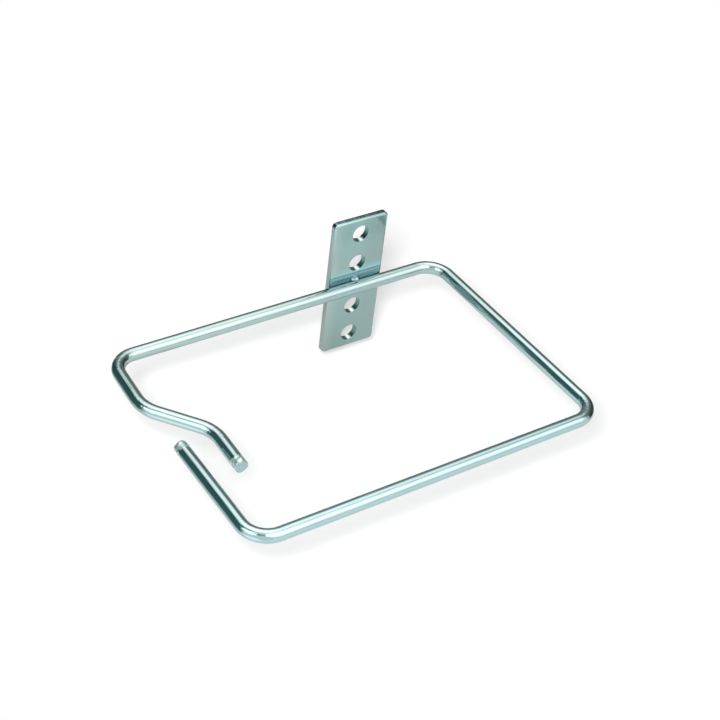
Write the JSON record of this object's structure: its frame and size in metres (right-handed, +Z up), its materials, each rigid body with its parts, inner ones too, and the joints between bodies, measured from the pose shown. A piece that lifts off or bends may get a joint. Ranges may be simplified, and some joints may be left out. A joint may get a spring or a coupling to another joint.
{
  "type": "cable management ring",
  "caption": "Open rectangular ring of bent round wire, welded to an upright punched plate, with a jogged gap in one side where cables slip in.",
  "frame": {"origin": "middle of the column of screw holes, on the plate's back face", "axes": "+X to the right along the back run of wire, +Y out of the plate's back into the wall or rack post, +Z up along the hole column; the ring reaches towards -Y"},
  "size_m": [0.1397, 0.1028, 0.0568],
  "materials": {
    "zinc_wire": "bright zinc plated steel, pale blue passivated, soft mirror gloss",
    "zinc_plate": "bright zinc plated sheet steel, pale blue passivated, soft mirror gloss",
    "zinc_weld": "zinc plated weld metal, slightly rough"
  },
  "bodies": {
    "root": {"wire_ring": "zinc_wire", "mounting_plate": "zinc_plate", "weld_beads": "zinc_weld"}
  },
  "joints": []
}
